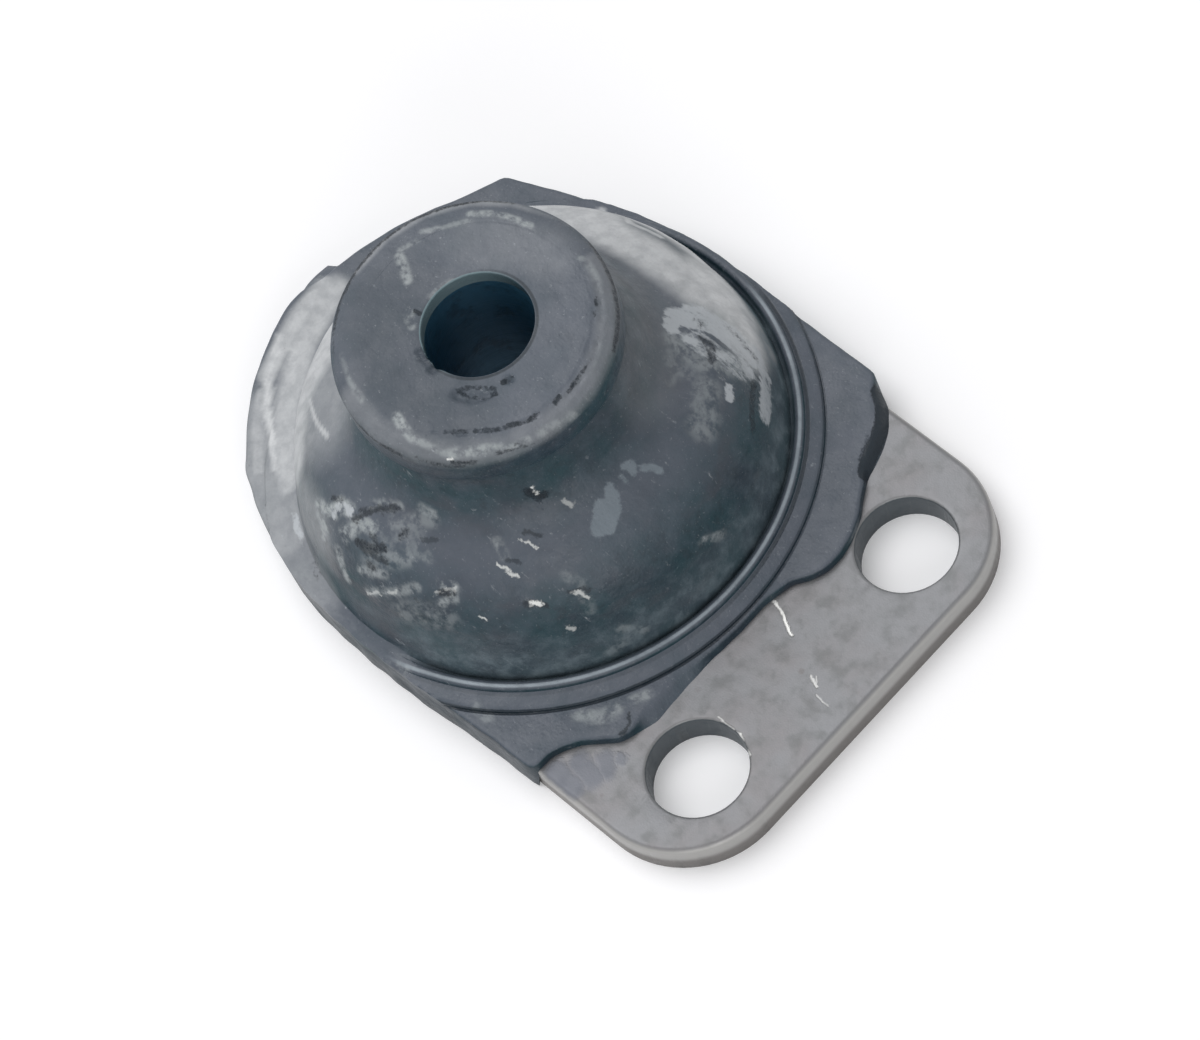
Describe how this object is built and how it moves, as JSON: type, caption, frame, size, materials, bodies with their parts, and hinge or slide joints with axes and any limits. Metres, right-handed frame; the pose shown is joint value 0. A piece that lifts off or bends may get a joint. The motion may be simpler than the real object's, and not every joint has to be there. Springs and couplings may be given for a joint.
{
  "type": "anti-vibration rubber buffer",
  "caption": "Bonded rubber bell mount on a flat steel plate with bolt holes in a tab and a steel bush for a centre bolt; it holds a machine and damps its shaking.",
  "frame": {"origin": "on the bush's axis, at the plate's underside", "axes": "+Z along the bush's axis towards the boss, +X towards the tab with the bolt holes"},
  "size_m": [0.0836, 0.0576, 0.034],
  "materials": {
    "plate_steel": "dull, blotchy",
    "moulded_rubber": "matt, dusty and scuffed",
    "bush_steel": "turned, dull"
  },
  "bodies": {
    "root": {"base_plate": "plate_steel", "rubber_body": "moulded_rubber", "centre_bush": "bush_steel"}
  },
  "joints": []
}
